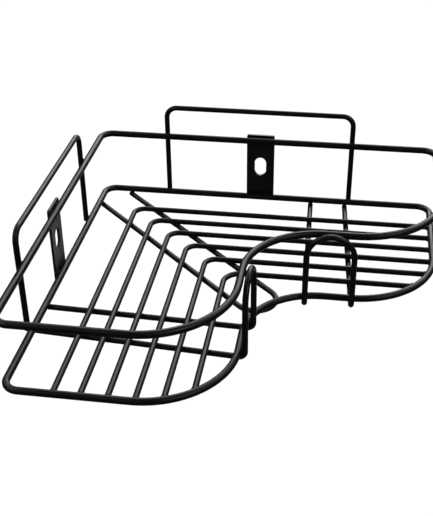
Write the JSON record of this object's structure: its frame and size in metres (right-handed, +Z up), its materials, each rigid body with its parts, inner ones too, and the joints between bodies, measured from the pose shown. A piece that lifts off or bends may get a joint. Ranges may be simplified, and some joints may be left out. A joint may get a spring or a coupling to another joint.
{
  "type": "corner shower caddy",
  "caption": "Welded wire corner caddy: two rims round a chevron wire floor, wall guards and slotted plates on the wall sides, and a hook wire on each arm.",
  "frame": {"origin": "middle of the caddy's footprint, at the underside of its lowest wires", "axes": "+Z up, +X along the rear wall away from the corner, +Y into the rear wall; the left wall is on the -X side"},
  "size_m": [0.2978, 0.2978, 0.0882],
  "materials": {
    "wire_coat": "satin black powder coat",
    "plate_coat": "satin black powder coat"
  },
  "bodies": {
    "root": {"lower_rim": "wire_coat", "upper_rim": "wire_coat", "floor_wire_1": "wire_coat", "floor_wire_2": "wire_coat", "floor_wire_3": "wire_coat", "floor_wire_4": "wire_coat", "floor_wire_5": "wire_coat", "floor_wire_6": "wire_coat", "diagonal_support": "wire_coat", "rear_hook_wire": "wire_coat", "left_hook_wire": "wire_coat", "rear_wall_guard": "wire_coat", "left_wall_guard": "wire_coat", "rear_mounting_plate": "plate_coat", "left_mounting_plate": "plate_coat"}
  },
  "joints": []
}
